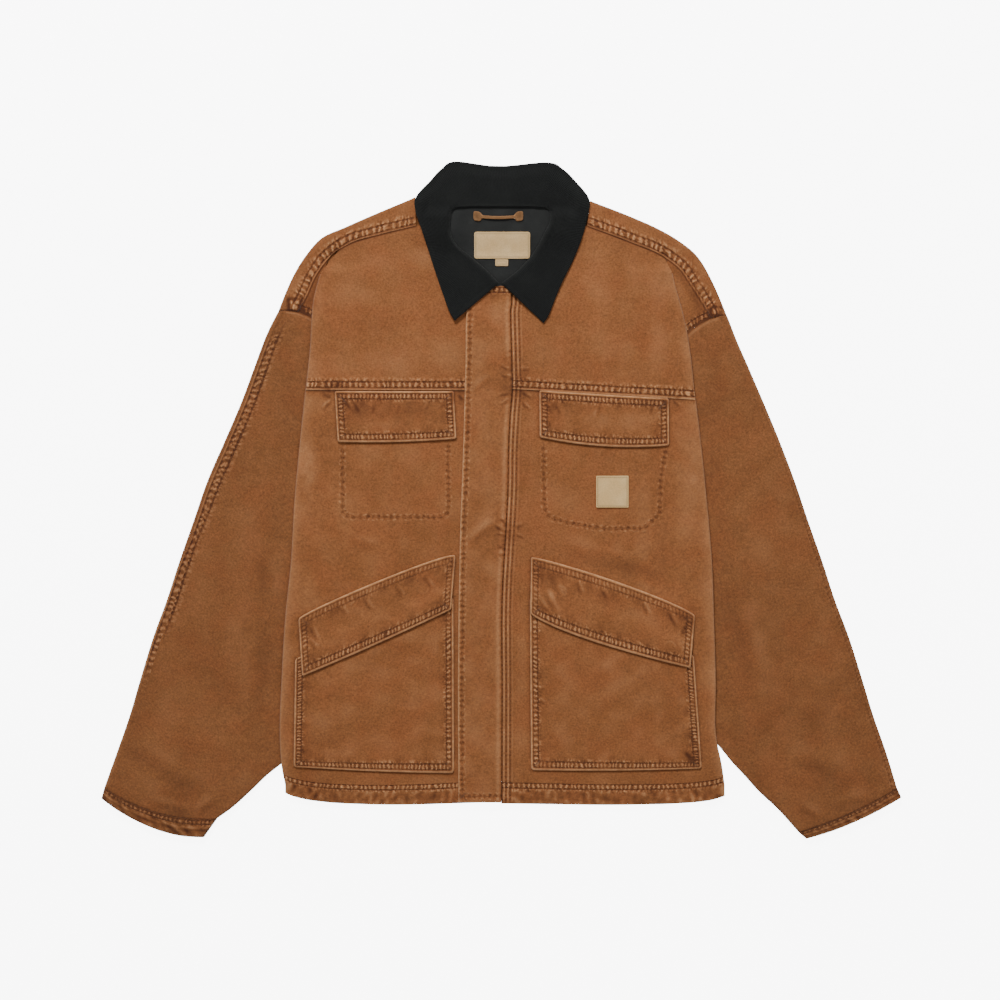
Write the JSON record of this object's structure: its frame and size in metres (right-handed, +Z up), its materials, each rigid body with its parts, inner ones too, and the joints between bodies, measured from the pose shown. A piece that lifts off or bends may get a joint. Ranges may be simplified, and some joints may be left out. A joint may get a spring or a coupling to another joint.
{
  "type": "chore jacket",
  "caption": "Boxy cotton-duck work jacket laid flat on its back, with a corduroy collar, covered zip front, flapped chest pockets and slanted flapped hip pockets.",
  "frame": {"origin": "on the surface that the jacket lies on, under the middle of the whole garment", "axes": "+Z up from that surface, +Y from the hem to the collar, +X toward the wearer's left sleeve"},
  "size_m": [0.929, 0.7864, 0.0149],
  "materials": {
    "canvas_body": "washed brown cotton duck canvas, matte, worn paler at seams and edges",
    "canvas_sleeve": "washed brown cotton duck canvas, a little darker than the body",
    "corduroy": "faded black fine-wale cotton corduroy, soft pile",
    "lining": "dark grey woven lining, matte",
    "label": "cream woven label, blank",
    "loop": "brown canvas strap with a worn tan edge"
  },
  "bodies": {
    "root": {"back": "canvas_body", "hem_back": "canvas_body", "yoke_right": "canvas_body", "yoke_left": "canvas_body", "front_yoke_right": "canvas_body", "front_yoke_left": "canvas_body", "front_right": "canvas_body", "front_left": "canvas_body", "hem_front_right": "canvas_body", "hem_front_left": "canvas_body", "placket": "canvas_body", "hip_pocket_right": "canvas_body", "hip_pocket_left": "canvas_body", "hip_flap_right": "canvas_body", "hip_flap_left": "canvas_body", "chest_flap_right": "canvas_body", "chest_flap_left": "canvas_body", "sleeve_front_right": "canvas_sleeve", "sleeve_front_left": "canvas_sleeve", "sleeve_back_right": "canvas_sleeve", "sleeve_back_left": "canvas_sleeve", "cuff_right": "canvas_sleeve", "cuff_left": "canvas_sleeve", "collar": "corduroy", "under_collar": "corduroy", "neck_lining": "lining", "hanger_loop": "loop", "neck_label": "label", "size_tab": "label", "chest_label": "label"}
  },
  "joints": []
}
